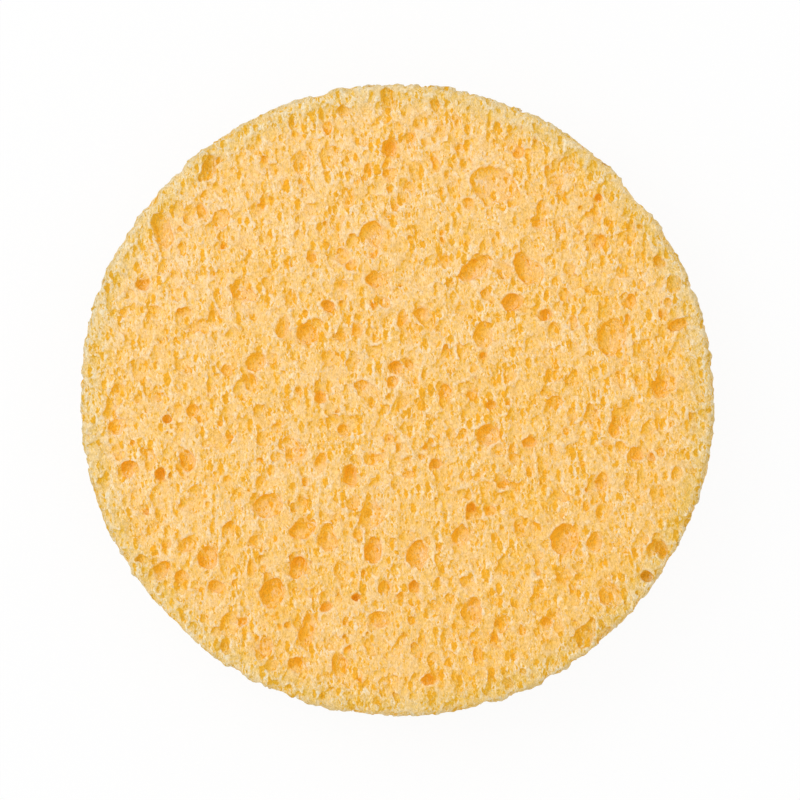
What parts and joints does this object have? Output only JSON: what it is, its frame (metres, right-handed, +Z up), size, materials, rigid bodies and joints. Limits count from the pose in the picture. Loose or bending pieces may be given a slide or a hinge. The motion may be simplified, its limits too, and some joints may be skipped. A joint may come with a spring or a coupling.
{
  "type": "facial sponge",
  "caption": "Round flat cellulose facial sponge, one die-cut foam disc with open pores on both faces and round the rim.",
  "frame": {"origin": "the middle of the bottom face, on the surface that the sponge lies on", "axes": "+Z up through the thickness, with +X to the right and +Y away from the viewer in the pictured top view"},
  "size_m": [0.076, 0.076, 0.012],
  "materials": {
    "cellulose_foam": "matte"
  },
  "bodies": {
    "root": {"sponge_disc": "cellulose_foam"}
  },
  "joints": []
}
